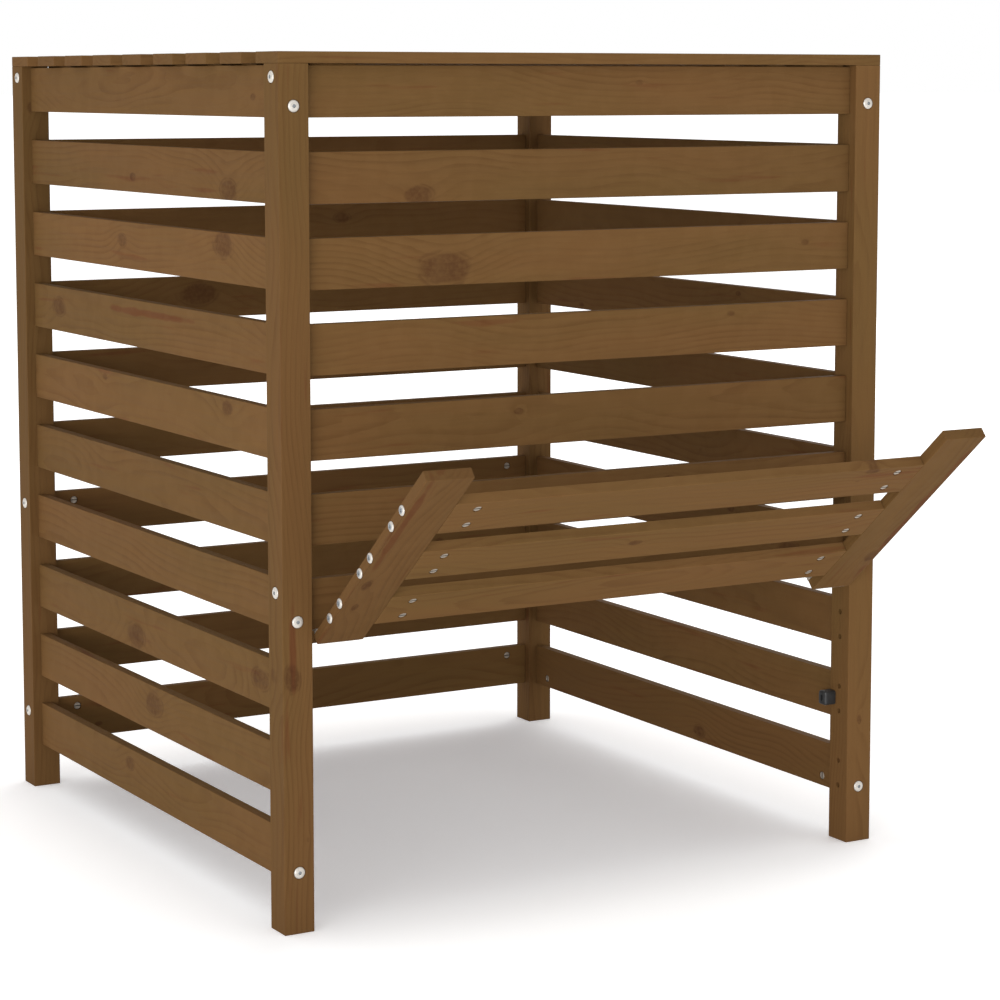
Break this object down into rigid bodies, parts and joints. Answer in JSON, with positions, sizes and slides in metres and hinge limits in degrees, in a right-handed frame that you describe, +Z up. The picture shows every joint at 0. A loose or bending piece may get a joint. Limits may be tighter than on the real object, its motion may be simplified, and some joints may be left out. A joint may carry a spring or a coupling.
{
  "type": "compost bin",
  "caption": "Square slatted wooden compost bin with a hinged slatted lid and a bottom front flap that folds up for emptying",
  "frame": {"origin": "On the ground, under the middle of the bin's whole box as pictured: lid closed and front flap raised to 130 degrees. The middle of the four posts' footprint lies 127.65 mm further back, on +Y", "axes": "+Z up, +Y to the back of the bin, +X to the right as seen from the front, where the flap is"},
  "size_m": [0.826, 1.0966, 0.995],
  "materials": {
    "stained_pine": "brown-stained planed pine, dull",
    "zinc_plated_steel": "bright zinc plating, satin",
    "dark_plastic": "dark grey moulded plastic"
  },
  "bodies": {
    "frame": {"front_left_post": "stained_pine", "front_right_post": "stained_pine", "rear_left_post": "stained_pine", "rear_right_post": "stained_pine", "front_slat_1": "stained_pine", "front_slat_2": "stained_pine", "front_slat_3": "stained_pine", "front_slat_4": "stained_pine", "front_slat_5": "stained_pine", "front_slat_6": "stained_pine", "front_slat_7": "stained_pine", "back_slat_1": "stained_pine", "back_slat_2": "stained_pine", "back_slat_3": "stained_pine", "back_slat_4": "stained_pine", "back_slat_5": "stained_pine", "back_slat_6": "stained_pine", "back_slat_7": "stained_pine", "back_slat_8": "stained_pine", "back_slat_9": "stained_pine", "back_slat_10": "stained_pine", "left_slat_1": "stained_pine", "left_slat_2": "stained_pine", "left_slat_3": "stained_pine", "left_slat_4": "stained_pine", "left_slat_5": "stained_pine", "left_slat_6": "stained_pine", "left_slat_7": "stained_pine", "left_slat_8": "stained_pine", "left_slat_9": "stained_pine", "left_slat_10": "stained_pine", "right_slat_1": "stained_pine", "right_slat_2": "stained_pine", "right_slat_3": "stained_pine", "right_slat_4": "stained_pine", "right_slat_5": "stained_pine", "right_slat_6": "stained_pine", "right_slat_7": "stained_pine", "right_slat_8": "stained_pine", "right_slat_9": "stained_pine", "right_slat_10": "stained_pine", "flap_catch": "dark_plastic", "flap_hinge_left_fixed_leaf": "zinc_plated_steel", "flap_hinge_left_pin": "zinc_plated_steel", "flap_hinge_right_fixed_leaf": "zinc_plated_steel", "flap_hinge_right_pin": "zinc_plated_steel", "lid_hinge_left_fixed_leaf": "zinc_plated_steel", "lid_hinge_left_pin": "zinc_plated_steel", "lid_hinge_right_fixed_leaf": "zinc_plated_steel", "lid_hinge_right_pin": "zinc_plated_steel"},
    "flap": {"flap_left_upright": "stained_pine", "flap_right_upright": "stained_pine", "flap_slat_1": "stained_pine", "flap_slat_2": "stained_pine", "flap_slat_3": "stained_pine", "flap_hinge_left_moving_leaf": "zinc_plated_steel", "flap_hinge_right_moving_leaf": "zinc_plated_steel"},
    "lid": {"lid": "stained_pine", "lid_hinge_left_moving_leaf": "zinc_plated_steel", "lid_hinge_right_moving_leaf": "zinc_plated_steel"}
  },
  "joints": [
    {"name": "flap_hinge", "type": "hinge", "parent": "frame", "child": "flap", "pos_m": [0, -0.27735, 0.344], "axis": [-1, 0, 0], "range_deg": [-130, 50]},
    {"name": "lid_hinge", "type": "hinge", "parent": "frame", "child": "lid", "pos_m": [0, 0.54465, 0.98185], "axis": [-1, 0, 0], "range_deg": [0, 195]}
  ]
}
